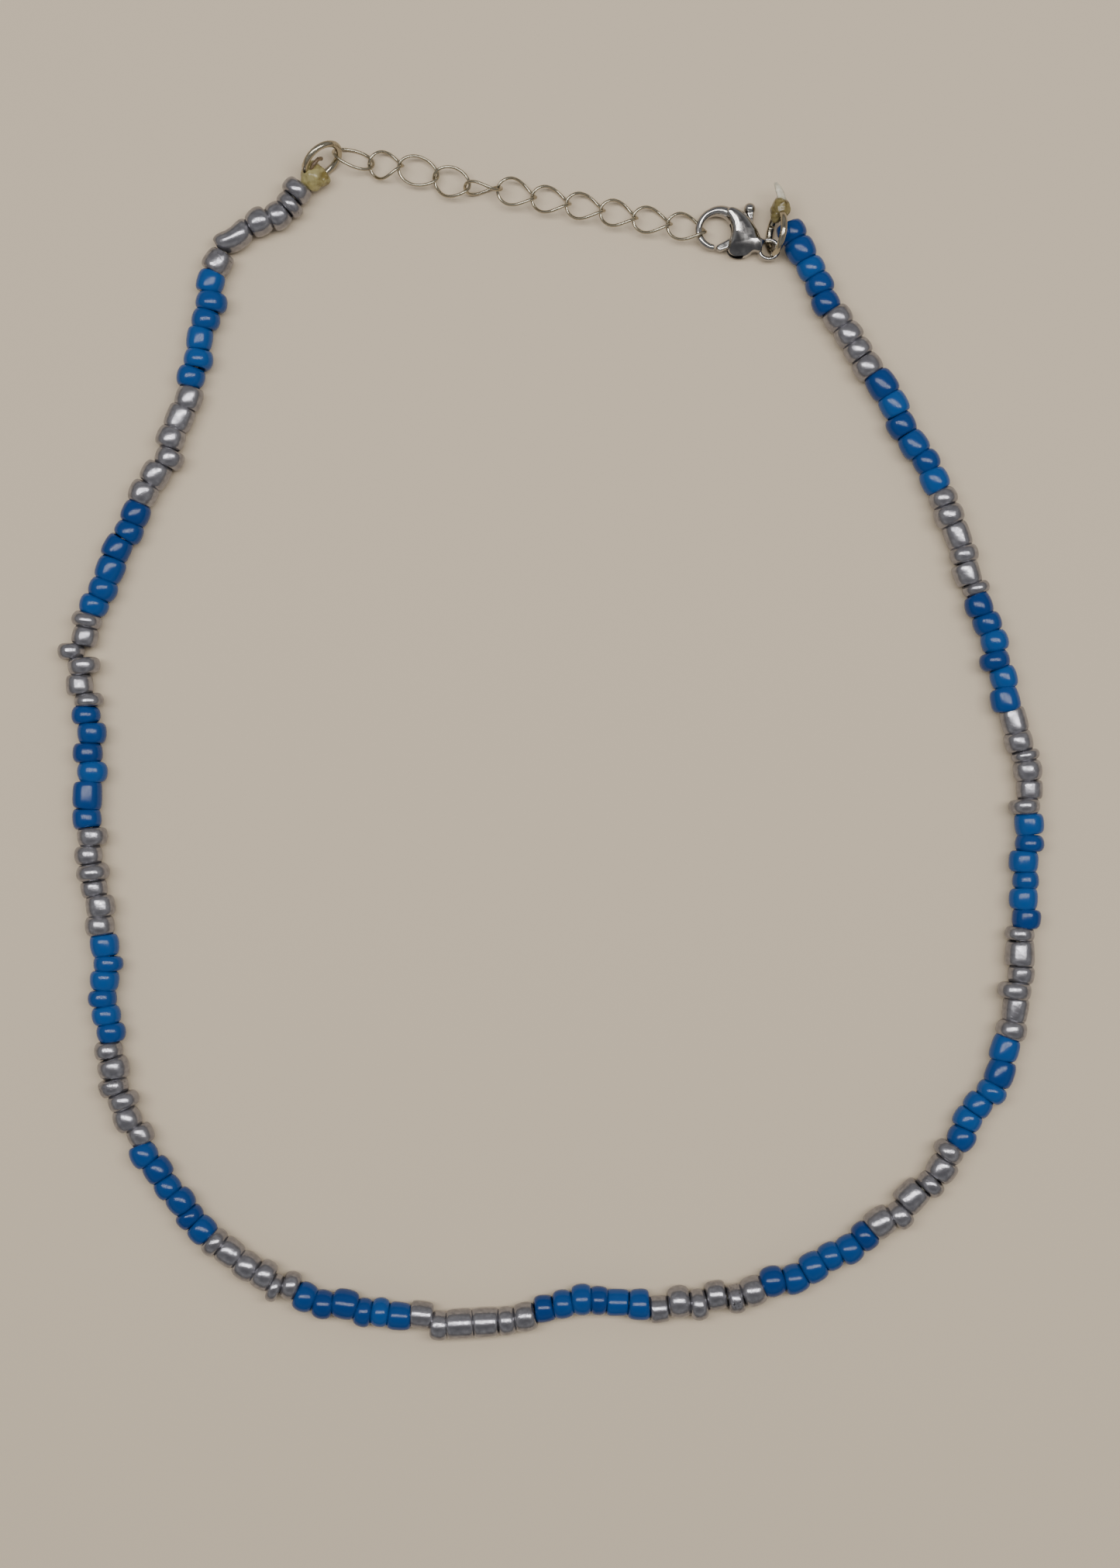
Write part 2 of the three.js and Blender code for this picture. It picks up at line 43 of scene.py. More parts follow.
X = np.array([1.0, 0.0, 0.0])
Y = np.array([0.0, 1.0, 0.0])
UP = np.array([0.0, 0.0, 1.0])

# Sizes in millimetres, as in the part's source
OUTLINE_MIDDLE = np.array([0.1, 0.14, 0.0])
BEAD_DIAMETER = 3.95
THREAD_DIAMETER = 0.8
BEAD_HOLE = 1.1
RING_DIAMETER = 6.2
RING_WIRE = 0.9
LINK_WIRE = 0.42
LINK_WIDTH = 4.3
LINK_CLEARANCE = 0.12
CLASP_THICKNESS = 2.9
CLASP_PLACE = np.array([22.3, 68.75, CLASP_THICKNESS / 2])
CLASP_TURN = math.radians(-20.5)
HOOK_OPENING = 3.8
HOOK_WIRE = 0.95
HOOK_DEPTH_SHARE = 1.1
EYE_PLACE = (7.5, 0.05)
EYE_HOLE = 1.95
EYE_WIRE = 0.6
EYE_DEPTH_SHARE = 1.5
LEVER_THICKNESS = 1.0
LEVER_CLEARANCE = 0.15
PIVOT = (3.75, 0.35)
PIN_DIAMETER = 0.7
PIN_CLEARANCE = 0.12
HUB_DIAMETER = 1.9
GATE_TIP = (1.3, -2.05)
GATE_WIDTH = 1.05
TAB_NECK = (3.9, 2.9)
TAB_KNOB = (3.2, 4.3)
TAB_KNOB_DIAMETER = 1.55

# The photograph: millimetres per pixel, the size and the middle of what it shows, how far above
# the necklace it is taken from, and the height of the sensor
PIXEL = 0.104
VIEW_SIZE = (1445 * PIXEL, 2023 * PIXEL)
VIEW_MIDDLE = (1.2, -5.8)
CAMERA_HEIGHT = 300.0
SENSOR = 36.0

# The string of beads, from its left end down, along the bottom and up to its right end: glaze,
# start of the run, shapes, then lengths as shares of the run, and widths and leans to the left
# as shares of BEAD_DIAMETER. Shapes: o round, b barrel, c cut tube, k bent.
RUNS = [
    ("silver", (-33.3, 74.9), "ooookb", (0.80, 0.65, 0.85, 0.95, 1.85, 1.10),
     (1.06, 1.02, 0.98, 1.00, 0.94, 0.98), (0.05, 0.25, 0.25, 0, -0.20, -0.05)),
    ("blue", (-45.2, 63.0), "booboo", (1.15, 1.00, 1.00, 1.10, 1.00, 1.00),
     (0.94, 1.08, 1.00, 0.92, 1.02, 0.98), (0.05, 0.30, 0.20, 0.05, 0.10, -0.05)),
    ("silver", (-48.4, 47.6), "bcoobo", (1.10, 1.15, 1.00, 0.90, 1.15, 1.10),
     (0.94, 0.94, 1.00, 1.00, 1.00, 1.00), (0.10, 0.05, 0.05, 0.30, 0.10, 0)),
    ("blue", (-55.2, 32.0), "oobboo", (1.05, 0.85, 1.15, 1.15, 1.05, 0.95),
     (1.00, 0.98, 0.98, 0.98, 1.00, 1.00), (0.05, 0.10, 0, 0.10, 0.15, 0.05)),
    ("silver", (-61.7, 17.3), "oboobo", (0.85, 1.00, 0.95, 0.95, 1.15, 0.75),
     (1.06, 0.90, 0.92, 1.10, 0.94, 1.00), (-0.05, -0.05, -0.50, -0.05, -0.25, 0.05)),
    ("blue", (-62.1, 4.6), "oooocb", (0.90, 1.10, 1.00, 1.00, 1.40, 1.05),
     (0.98, 1.00, 1.02, 1.02, 1.00, 1.00), (-0.05, 0.15, 0, 0.15, -0.05, -0.10)),
    ("silver", (-61.7, -11.5), "ooobbo", (0.95, 1.00, 0.90, 0.90, 1.10, 1.05),
     (1.02, 0.98, 1.14, 0.92, 1.02, 1.02), (0.05, -0.15, -0.05, -0.10, 0.05, -0.05)),
    ("blue", (-60.1, -25.9), "booooo", (1.20, 0.85, 1.05, 0.95, 1.00, 1.00),
     (0.98, 1.00, 1.00, 0.98, 1.00, 1.00), (0.05, 0.15, 0, -0.10, 0, 0.10)),
    ("silver", (-59.1, -40.2), "ooooob", (0.95, 1.10, 0.90, 0.85, 1.20, 1.00),
     (0.98, 1.08, 1.06, 1.10, 1.00, 0.92), (-0.10, -0.05, -0.20, 0, -0.10, 0.10)),
    ("blue", (-54.8, -54.0), "oooooo", (1.10, 1.10, 1.00, 1.10, 0.85, 1.10),
     (1.00, 1.00, 0.92, 1.00, 0.98, 1.00), (-0.10, 0.05, 0, 0.10, 0, 0)),
    ("silver", (-45.8, -66.4), "oboooo", (0.75, 1.10, 1.10, 0.90, 0.60, 0.80),
     (1.06, 0.98, 1.02, 1.08, 1.00, 1.00), (0, 0.05, 0, 0.05, -0.20, 0.10)),
    ("blue", (-33.9, -73.7), "ooboob", (1.05, 1.05, 1.20, 0.85, 0.90, 1.15),
     (1.02, 1.00, 1.02, 1.00, 1.00, 0.98), (-0.10, -0.15, 0.05, -0.10, 0, -0.05)),
    ("silver", (-18.7, -77.0), "coccoo", (1.10, 0.85, 1.30, 1.35, 0.85, 1.10),
     (0.92, 0.98, 1.02, 1.00, 0.98, 1.00), (0.05, -0.30, -0.25, -0.25, -0.25, -0.15)),
    ("blue", (-2.1, -76.5), "oooocb", (1.00, 1.00, 1.00, 0.85, 1.20, 1.10),
     (0.94, 1.00, 1.06, 1.00, 0.90, 1.06), (0.10, 0.25, 0.40, 0.35, 0.25, 0.15)),
    ("silver", (13.3, -75.9), "cooboo", (1.00, 1.10, 0.85, 1.05, 0.85, 1.10),
     (0.92, 1.10, 1.08, 1.00, 1.02, 1.06), (-0.10, 0.10, -0.10, 0.10, -0.15, -0.05)),
    ("blue", (28.6, -73.0), "oooooo", (1.10, 1.10, 1.10, 0.95, 1.10, 0.90),
     (1.06, 1.02, 1.06, 0.98, 1.02, 1.06), (0.05, -0.15, -0.05, 0, -0.10, 0)),
    ("silver", (43.1, -65.6), "bocobo", (1.25, 0.85, 1.35, 0.85, 1.10, 0.85),
     (1.06, 1.02, 1.06, 1.00, 1.02, 1.08), (0.05, -0.20, 0, -0.20, -0.15, 0.05)),
    ("blue", (54.2, -54.1), "oooobb", (1.05, 0.95, 0.95, 0.85, 1.35, 1.25),
     (1.00, 1.00, 0.98, 1.06, 1.00, 0.98), (-0.05, 0.10, 0.05, -0.15, -0.15, 0)),
    ("silver", (61.5, -39.7), "ocobco", (0.90, 1.20, 0.85, 0.90, 1.35, 0.70),
     (1.08, 0.90, 1.16, 0.94, 1.00, 1.02), (0, 0, 0.15, -0.05, 0.05, 0.10)),
    ("blue", (63.4, -24.9), "bbobob", (1.00, 1.10, 0.90, 1.10, 0.90, 1.15),
     (0.98, 0.98, 0.92, 1.00, 1.00, 1.00), (-0.10, 0.05, 0, 0.10, -0.10, -0.10)),
    ("silver", (63.8, -9.7), "ocoooc", (0.80, 1.00, 1.10, 0.55, 1.10, 1.25),
     (1.08, 0.90, 1.00, 0.98, 1.00, 0.90), (0.05, -0.20, -0.20, -0.20, -0.05, -0.05)),
    ("blue", (61.7, 4.4), "booooo", (1.15, 1.05, 0.90, 1.00, 0.95, 1.10),
     (1.00, 0.94, 1.06, 0.98, 0.98, 0.98), (0.10, -0.05, 0.10, -0.10, -0.05, 0.05)),
    ("silver", (57.2, 19.7), "ococoo", (0.60, 1.15, 0.85, 1.25, 1.00, 0.85),
     (0.94, 0.94, 1.02, 0.90, 1.06, 1.00), (-0.05, 0.10, 0, 0, 0.05, 0)),
    ("blue", (52.2, 33.8), "oooobb", (1.10, 0.95, 1.10, 1.05, 1.10, 1.30),
     (0.98, 0.94, 0.98, 1.00, 0.98, 1.02), (0, -0.05, 0.05, 0.10, -0.05, -0.05)),
    ("silver", (43.6, 49.0), "oooo", (0.90, 0.80, 0.90, 0.90),
     (1.02, 0.98, 1.00, 1.02), (0.05, 0, -0.05, -0.05)),
    ("blue", (37.7, 57.9), "ooooo", (1.05, 0.95, 0.95, 1.10, 1.00),
     (0.98, 0.98, 0.98, 1.02, 1.00), (0.05, -0.05, -0.05, 0, 0)),
]
# Where the string ends, and how many of its runs are in its left half
STRING_END = (31.8, 69.6)
LEFT_RUNS = 13
# How square a bead's section is along the string: the exponent of its superellipse
SQUARENESS = {"o": 2.15, "b": 2.6, "c": 3.7, "k": 2.4}
# How much one bead differs from the next in squareness, wedge, oval and taper
SQUARENESS_RANGE = (-0.2, 0.3)
WEDGE_RANGE = (0.0, 0.12)
OVAL_RANGE = (0.0, 0.025)
TAPER_RANGE = (-0.05, 0.05)
# How far a bead lies along the thread's route, and not along the line between its neighbours
ROUTE_SHARE = 0.6
# How close neighbours lie: over 1, their rounded faces settle into each other's holes
CLOSENESS = 1.04
# The bent bead: its turn from the route, how deep and wide its hollow is, how much it narrows,
# how far it bends and about what level, and how much its ends close in and from where
BENT_TURN = math.radians(-14)
BENT_HOLLOW = 0.22
BENT_HOLLOW_WIDTH = 0.45
BENT_TAPER = 0.24
BENT_ARCH = 0.36
BENT_LEVEL = 0.35
BENT_NOSE = 0.7
BENT_NOSE_START = 0.6
# Silver beads whose coating is worn into pits: the run and the place in it, and how worn it is
PITTED = {(0, 1): 0.7, (0, 5): 0.7, (8, 2): 0.8, (14, 4): 1.0, (16, 3): 0.6, (2, 1): 0.5, (18, 1): 0.5}

# The extender chain's joints, and the roll of each link at its start and end
CHAIN_JOINTS = [
    (-28.4, 79.0, 1.9), (-24.1, 77.6, 1.3), (-20.1, 77.4, 1.55), (-15.4, 76.0, 1.3),
    (-11.2, 74.3, 2.15), (-6.8, 74.2, 2.15), (-2.2, 73.2, 1.6), (2.4, 72.3, 1.6),
    (7.0, 71.4, 1.6), (11.4, 70.4, 1.6), (16.0, 69.6, 1.6), (20.05, 68.75, 1.45),
]
LINK_ROLLS = [
    (-54, -38), (35, -72), (22, -32), (40, -30), (60, 120), (28, -70),
    (22, -72), (20, -72), (20, -72), (20, -72), (22, -70),
]

# Jump rings: middle, turn about Z and tilt about their own long axis, in degrees
RING_LEFT = ((-30.5, 77.8, 2.96), 38, 70)
RING_RIGHT = ((30.25, 68.05, 3.01), 84, -74)

# Lumps of glue of each knot: middle, radii, height of the bumps and seed
KNOT_LEFT = [
    ((-31.8, 75.8, 2.2), (1.65, 1.95, 1.5), 0.07, 3),
    ((-30.6, 75.6, 1.9), (1.05, 1.1, 1.0), 0.08, 8),
    ((-32.3, 76.9, 2.6), (1.0, 1.1, 1.1), 0.08, 9),
]
KNOT_RIGHT = [
    ((30.8, 71.2, 3.2), (1.2, 1.65, 1.4), 0.07, 4),
    ((30.2, 70.6, 3.1), (0.8, 1.3, 1.1), 0.07, 6),
]
# How dark the glue of each knot is, from 0 to 1
KNOT_LEFT_TONE = 0.0
KNOT_RIGHT_TONE = 0.8
# The loop of thread over the left ring, and the cut end of the thread at the right knot
LOOP_PATH = [(-32.1, 76.2, 3.3), (-31.6, 77.1, 3.5), (-31.0, 77.8, 3.4), (-30.6, 78.0, 2.9)]
LOOP_RADIUS = 0.28
TAIL_PATH = [(30.9, 72.1, 3.8), (30.75, 72.9, 3.9), (30.4, 73.7, 3.95), (30.0, 74.5, 4.0)]
TAIL_RADII = (0.62, 0.56, 0.45, 0.22)
TAIL_FLATNESS = 0.4


# Meshes
class Shape:
    """Points in millimetres and faces of one piece, with values held at its points."""

    def __init__(self):
        self.points = []
        self.faces = []
        self.values = {"tone": [], "wear": []}

    def add(self, points, faces, tone=0.0, wear=0.0):
        start = len(self.points)
        self.points.extend(points)
        self.faces.extend([start + i for i in face] for face in faces)
        self.values["tone"].extend([tone] * len(points))
        self.values["wear"].extend([wear] * len(points))

    def piece(self, name, surface):
        mesh = bpy.data.meshes.new(name)
        moved = (np.array(self.points) - OUTLINE_MIDDLE) * MM
        mesh.from_pydata(moved.tolist(), [], self.faces)
        for label, values in self.values.items():
            mesh.attributes.new(label, "FLOAT", "POINT").data.foreach_set("value", values)
        mesh.shade_smooth()
        mesh.materials.append(surface)
        mesh.validate()
        obj = bpy.data.objects.new(name, mesh)
        bpy.context.collection.objects.link(obj)
        return obj


def tube_faces(rows, sides, closed):
    """Faces of a skin over rows of points. Each row turns the way that its normal points on."""
    faces = []
    for i in range(rows if closed else rows - 1):
        for j in range(sides):
            a, b = i * sides + j, i * sides + (j + 1) % sides
            k = (i + 1) % rows
            faces.append([a, b, k * sides + (j + 1) % sides, k * sides + j])
    if not closed:
        faces.append(list(range(sides))[::-1])
        faces.append([(rows - 1) * sides + j for j in range(sides)])
    return faces


def unit(v):
    return v / np.linalg.norm(v)


def ring_points(middle, across, up, width, height, sides):
    turn = 2 * math.pi * np.arange(sides) / sides
    return middle + np.outer(np.cos(turn) * width, across) + np.outer(np.sin(turn) * height, up)


def sweep(path, radii, sides=12, closed=False, flatten=1.0, up=UP):
    """Skin round a path of points, with a radius at each."""
    path = np.array(path, float)
    radii = np.broadcast_to(radii, len(path))
    rows = []
    for i, point in enumerate(path):
        if closed:
            along = path[(i + 1) % len(path)] - path[i - 1]
        else:
            along = path[min(i + 1, len(path) - 1)] - path[max(i - 1, 0)]
        along = unit(along)
        across = unit(np.cross(up, along))
        rows.append(ring_points(point, across, np.cross(along, across), radii[i],
                                radii[i] * flatten, sides))
    return np.concatenate(rows), tube_faces(len(path), sides, closed)


# String of beads
def catmull_rom(points, t):
    """Point and tangent at t, counted in points, of a curve through all the points."""
    i = min(int(t), len(points) - 2)
    u = t - i
    b, c = points[i], points[i + 1]
    a = points[i - 1] if i > 0 else 2 * b - c
    d = points[i + 2] if i + 2 < len(points) else 2 * c - b
    v, w = (c - a) / 2, (d - b) / 2
    point = b + v * u + (3 * (c - b) - 2 * v - w) * u**2 + (2 * (b - c) + v + w) * u**3
    tangent = v + 2 * (3 * (c - b) - 2 * v - w) * u + 3 * (2 * (b - c) + v + w) * u**2
    return point, tangent


def all_beads():
    route = [np.array([x, y, 0.0]) for x, y in [run[1] for run in RUNS] + [STRING_END]]
    beads = []
    for r, (glaze, _, shapes, lengths, widths, leans) in enumerate(RUNS):
        reach = np.linalg.norm(route[r + 1] - route[r])
        done = 0
        for b, share in enumerate(lengths):
            middle, along = catmull_rom(route, r + (done + share / 2) / sum(lengths))
            done += share
            radius = widths[b] * BEAD_DIAMETER / 2
            middle = middle + leans[b] * BEAD_DIAMETER * unit(np.cross(UP, along))
            middle[2] = radius
            beads.append({
                "glaze": glaze, "half": "left" if r < LEFT_RUNS else "right", "shape": shapes[b],
                "middle": middle, "radius": radius, "length": share / sum(lengths) * reach,
                "route": unit(along),
                "wear": PITTED.get((r, b), 0.0),
            })
    for i, bead in enumerate(beads):
        along = beads[min(i + 1, len(beads) - 1)]["middle"] - beads[max(i - 1, 0)]["middle"]
        along[2] = 0
        bead["axis"] = unit(unit(along) * (1 - ROUTE_SHARE) + bead["route"] * ROUTE_SHARE)
        bead["reach"] = [share_of_gap(bead, beads[j]) if 0 <= j < len(beads) else bead["length"] / 2
                         for j in (i - 1, i + 1)]
    return beads


def share_of_gap(bead, neighbour):
    """How far a bead reaches along its axis towards its neighbour, so that the two just touch."""
    apart = abs(np.dot(neighbour["middle"] - bead["middle"], bead["axis"])) * CLOSENESS
    return apart * bead["length"] / (bead["length"] + neighbour["length"])


PROFILE_STEPS = 22
AROUND_STEPS = 32
THREAD_SIDES = 8
# How far the thread goes into the string's end beads, as a share of their length
THREAD_END_SHARE = 0.45
BEAD_SEED = 5
# How dark or light the glass of one bead is against the others
TONE_RANGE = (-1.0, 1.0)


def bead_points(bead, rng):
    """A pressed ring of glass: its section is a superellipse that turns about the thread."""
    hole = BEAD_HOLE / 2
    section_middle = (bead["radius"] + hole) / 2
    section_half = (bead["radius"] - hole) / 2
    power = 2 / (SQUARENESS[bead["shape"]] + rng.uniform(*SQUARENESS_RANGE))
    wedge = rng.uniform(*WEDGE_RANGE)
    wedge_turn = rng.uniform(0, 2 * math.pi)
    oval = rng.uniform(*OVAL_RANGE)
    oval_turn = rng.uniform(0, 2 * math.pi)
    taper = rng.uniform(*TAPER_RANGE)
    axis = bead["axis"]
    bent = bead["shape"] == "k"
    if bent:
        wedge = 0
        axis = np.array(Matrix.Rotation(BENT_TURN, 3, "Z")) @ axis
    left = np.cross(UP, axis)
    points = []
    for i in range(PROFILE_STEPS):
        turn = 2 * math.pi * i / PROFILE_STEPS
        along = -math.copysign(abs(math.cos(turn)) ** power, math.cos(turn))
        out = math.copysign(abs(math.sin(turn)) ** power, math.sin(turn))
        outer = max(out, 0)
        for j in range(AROUND_STEPS):
            around = 2 * math.pi * j / AROUND_STEPS
            x = along * bead["reach"][along > 0] * (1 + wedge * math.cos(around - wedge_turn))
            r = section_middle + section_half * out
            r *= 1 + outer * (oval * math.cos(2 * (around - oval_turn)) + taper * along)
            offset = 0.0
            if bent:
                r = bent_radius(r, along, outer, around)
                offset = BENT_ARCH * (BENT_LEVEL - along**2)
            points.append(bead["middle"] + axis * x + left * (math.cos(around) * r + offset)
                          + UP * math.sin(around) * r)
    sunk = min(min(point[2] for point in points), 0)
    return [point - UP * sunk for point in points]


def bent_radius(r, along, outer, around):
    """A radius of the bent bead, with its hollow, its taper and its rounded ends."""
    saddle = math.exp(-(along / BENT_HOLLOW_WIDTH) ** 2)
    r *= 1 - outer * (BENT_HOLLOW * saddle * max(-math.cos(around), 0) + BENT_TAPER * max(along, 0))
    towards_end = max(abs(along) - BENT_NOSE_START, 0) / (1 - BENT_NOSE_START)
    hole = BEAD_HOLE / 2
    return hole + (r - hole) * math.sqrt(1 - BENT_NOSE * towards_end**2)


def bead_pieces():
    rng = random.Random(BEAD_SEED)
    faces = [face[::-1] for face in tube_faces(PROFILE_STEPS, AROUND_STEPS, True)]
    beads = all_beads()
    for half in ("left", "right"):
        solid = f"bead_string_{half}"
        for glaze, surface in (("silver", SILVER_GLAZE), ("blue", BLUE_GLASS)):
            shape = Shape()
            for bead in beads:
                if bead["half"] == half and bead["glaze"] == glaze:
                    shape.add(bead_points(bead, rng), faces, rng.uniform(*TONE_RANGE), bead["wear"])
            place(shape.piece(f"beads_{glaze}_{half}", surface), "necklace", "bead_glass", solid)
        own = [bead for bead in beads if bead["half"] == half]
        first, last = own[0], own[-1]
        path = [first["middle"] - first["axis"] * first["length"] * THREAD_END_SHARE]
        path.extend(bead["middle"] for bead in own)
        path.append(last["middle"] + last["axis"] * last["length"] * THREAD_END_SHARE)
        thread = Shape()
        thread.add(*sweep(path, THREAD_DIAMETER / 2, THREAD_SIDES))
        place(thread.piece(f"thread_{half}", THREAD), "necklace", "bead_glass", solid)


def place(piece, body, slot, *nodes):
    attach(piece, body)
    if nodes:
        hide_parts(*nodes)
    return piece


# Chain
LINK_STEPS = 48
LINK_SIDES = 12


def link_path(start, end, rolls, wires):
    """The middle line of a link between two joints, and the way that its first face looks."""
    start, end = np.array(start), np.array(end)
    along = unit(end - start)
    left = unit(np.cross(UP, along))
    over = np.cross(along, left)
    start = start - along * ((wires[0] + LINK_WIRE) / 2 + LINK_CLEARANCE)
    end = end + along * ((wires[1] + LINK_WIRE) / 2 + LINK_CLEARANCE)
    half = np.linalg.norm(end - start) / 2
    path = []
    for turn in 2 * math.pi * np.arange(LINK_STEPS) / LINK_STEPS:
        x = -math.cos(turn)
        roll = math.radians(rolls[0] + (rolls[1] - rolls[0]) * (x + 1) / 2)
        across = left * math.cos(roll) + over * math.sin(roll)
        width = (LINK_WIDTH - LINK_WIRE) / 2 * math.sin(turn)
        path.append((start + end) / 2 + along * x * half + across * width)
    return path, unit(np.cross(along, across))


def chain_piece():
    shape = Shape()
    # Between two links the joint is half way through both wires, and at the chain's ends it is
    # the middle of the jump ring's or the hook's wire
    between = [-LINK_CLEARANCE] * (len(LINK_ROLLS) - 1)
    wires = [RING_WIRE, *between, HOOK_WIRE * HOOK_DEPTH_SHARE]
    for i, rolls in enumerate(LINK_ROLLS):
        path, face = link_path(CHAIN_JOINTS[i], CHAIN_JOINTS[i + 1], rolls, wires[i:i + 2])
        shape.add(*sweep(path, LINK_WIRE / 2, LINK_SIDES, closed=True, up=face))
    nodes = [f"chain_link_{i + 1:02d}" for i in range(len(LINK_ROLLS))]
    place(shape.piece("extender_chain", PLATED_WIRE), "necklace", "chain_wire", *nodes)


# Jump rings: a wire bent round, with the cut where its ends meet
RING_STEPS = 64
RING_SIDES = 16
# How wide the cut is, as an angle
RING_CUT = 0.03


def ring_path(spec, cut_at):
    """The middle line of a ring from one side of its cut to the other, and the way it faces."""
    middle, turn, tilt = spec
    pose = Matrix.Rotation(math.radians(turn), 3, "Z") @ Matrix.Rotation(math.radians(tilt), 3, "X")
    radius = (RING_DIAMETER - RING_WIRE) / 2
    path = []
    for step in range(RING_STEPS + 1):
        angle = cut_at + RING_CUT / 2 + (2 * math.pi - RING_CUT) * step / RING_STEPS
        out = pose @ Vector((math.cos(angle), math.sin(angle), 0))
        path.append(np.array(middle) + np.array(out) * radius)
    return path, np.array(pose.col[2])


def jump_ring(name, spec, cut_at):
    path, face = ring_path(spec, cut_at)
    shape = Shape()
    shape.add(*sweep(path, RING_WIRE / 2, RING_SIDES, up=face))
    place(shape.piece(f"{name}_wire", PLATED_WIRE), "necklace", "chain_wire", name)


# Clasp
def clasp_world(points):
    """Points of the clasp, from its own axes to the necklace's."""
    turn = np.array(Matrix.Rotation(CLASP_TURN, 3, "Z"))
    return np.array(points) @ turn.T + CLASP_PLACE


def spline_closed(points, steps):
    """Dense closed curve through the points."""
    points = [np.array(p, float) for p in points]
    count = len(points)
    dense = []
    for i in range(count):
        a, b, c, d = (points[(i + k) % count] for k in (-1, 0, 1, 2))
        for s in range(steps):
            u = s / steps
            dense.append(0.5 * (2 * b + (c - a) * u + (2 * a - 5 * b + 4 * c - d) * u**2
                                + (3 * b - a - 3 * c + d) * u**3))
    return np.array(dense)


def pillow(outline, depth, rounding, layers):
    """A plate with an outline in the plane, whose rims round over as a quarter ellipse."""
    dense = np.array(outline, float)
    ahead = np.roll(dense, -1, 0) - np.roll(dense, 1, 0)
    normal = np.stack([ahead[:, 1], -ahead[:, 0]], 1) / np.linalg.norm(ahead, axis=1)[:, None]
    rows = []
    for layer in range(2 * layers + 1):
        turn = math.pi / 2 * (layer - layers) / layers
        inset = rounding * (1 - math.cos(turn))
        flat = dense - normal * inset
        rows.append(np.column_stack([flat, np.full(len(flat), depth / 2 * math.sin(turn))]))
    return np.concatenate(rows), tube_faces(2 * layers + 1, len(dense), False)


BAR_END_STEPS = 16
BAR_ROUNDING = 0.22
BAR_LAYERS = 3


def bar(start, end, width_start, width_end, depth):
    """A flat bar with round ends and rounded rims, which may widen from start to end."""
    heading = math.atan2(end[1] - start[1], end[0] - start[0])
    outline = []
    for (x, y), width, side in ((start, width_start, math.pi / 2), (end, width_end, -math.pi / 2)):
        for s in range(BAR_END_STEPS + 1):
            angle = heading + side + math.pi * s / BAR_END_STEPS
            outline.append((x + math.cos(angle) * width / 2, y + math.sin(angle) * width / 2))
    return pillow(outline, depth, BAR_ROUNDING, BAR_LAYERS)


def upright(place_at, diameter, depth, sides=32):
    """A round post about the clasp's upright axis."""
    x, y = place_at
    radius = diameter / 2
    rows = [ring_points(np.array([x, y, z]), X, Y, radius, radius, sides) for z in (-depth / 2, depth / 2)]
    return np.concatenate(rows), tube_faces(2, sides, False)


def raw_object(name, parts):
    """Closed forms of the clasp in one object, each with its faces outwards."""
    shape = Shape()
    for points, faces in parts:
        shape.add(clasp_world(points), faces)
    obj = shape.piece(name, STEEL)
    work = bmesh.new()
    work.from_mesh(obj.data)
    bmesh.ops.recalc_face_normals(work, faces=work.faces)
    work.to_mesh(obj.data)
    work.free()
    return obj


def apply_modifiers(obj):
    depsgraph = bpy.context.evaluated_depsgraph_get()
    depsgraph.update()
    mesh = bpy.data.meshes.new_from_object(obj.evaluated_get(depsgraph))
    old = obj.data
    obj.modifiers.clear()
    obj.data = mesh
    bpy.data.meshes.remove(old)
    mesh.shade_smooth()


def remesh(obj, voxel, smoothing):
    """Melt an object's forms into one skin, and smooth it."""
    modifier = obj.modifiers.new("remesh", "REMESH")
    modifier.mode = "VOXEL"
    modifier.voxel_size = voxel * MM
    modifier.use_smooth_shade = True
    smooth = obj.modifiers.new("smooth", "SMOOTH")
    smooth.factor = 0.5
    smooth.iterations = smoothing
    apply_modifiers(obj)


def cut(obj, tool):
    """Cut the tool's form out of an object, and delete the tool."""
    modifier = obj.modifiers.new("cut", "BOOLEAN")
    modifier.operation = "DIFFERENCE"
    modifier.solver = "EXACT"
    modifier.object = tool
    apply_modifiers(obj)
    mesh = tool.data
    bpy.data.objects.remove(tool)
    bpy.data.meshes.remove(mesh)


# The hook's wire from the shell round to its tip: angle in degrees, and width and thickness as
# shares of the hook's wire
HOOK_SECTIONS = [
    (50, 1.7, 2.8), (82, 1.75, 2.5), (106, 1.5, 2.0), (130, 1.2, 1.5), (155, 1.05, 1.2),
    (180, 1, 1.1), (205, 1, 1.1), (230, 1, 1.1), (255, 0.97, 1.05), (270, 0.94, 1), (283, 0.9, 0.95),
]
HOOK_STEPS = 60
HOOK_SIDES = 20


def hook():
    angles, widths, heights = (np.array(column, float) for column in zip(*HOOK_SECTIONS))
    rows = []
    for angle in np.linspace(angles[0], angles[-1], HOOK_STEPS):
        width = np.interp(angle, angles, widths) * HOOK_WIRE / 2
        height = np.interp(angle, angles, heights) * HOOK_WIRE / 2
        turn = math.radians(angle)
        out = np.array([math.cos(turn), math.sin(turn), 0])
        rows.append(ring_points(out * (HOOK_OPENING / 2 + width), UP, out, height, width, HOOK_SIDES))
    return np.concatenate(rows), tube_faces(HOOK_STEPS, HOOK_SIDES, False)


# The shell's outline, its ridge line, and how full its dome is
SHELL = [
    (0.6, 3.4), (1.7, 3.65), (2.9, 3.4), (4.1, 2.8), (5.1, 2.0), (5.9, 1.2), (6.7, 0.8), (6.8, -0.6),
    (5.8, -0.95), (5.0, -1.95), (4.0, -2.5), (3.0, -2.6), (2.35, -2.2), (2.15, -1.4), (2.0, -0.4),
    (1.85, 0.7), (1.2, 1.6), (0.4, 2.4),
]
RIDGE = [(0.9, 2.95), (2.3, 2.35), (3.4, 1.35), (3.8, 0.3), (3.75, -0.6)]
DOME_POWER = 2.7
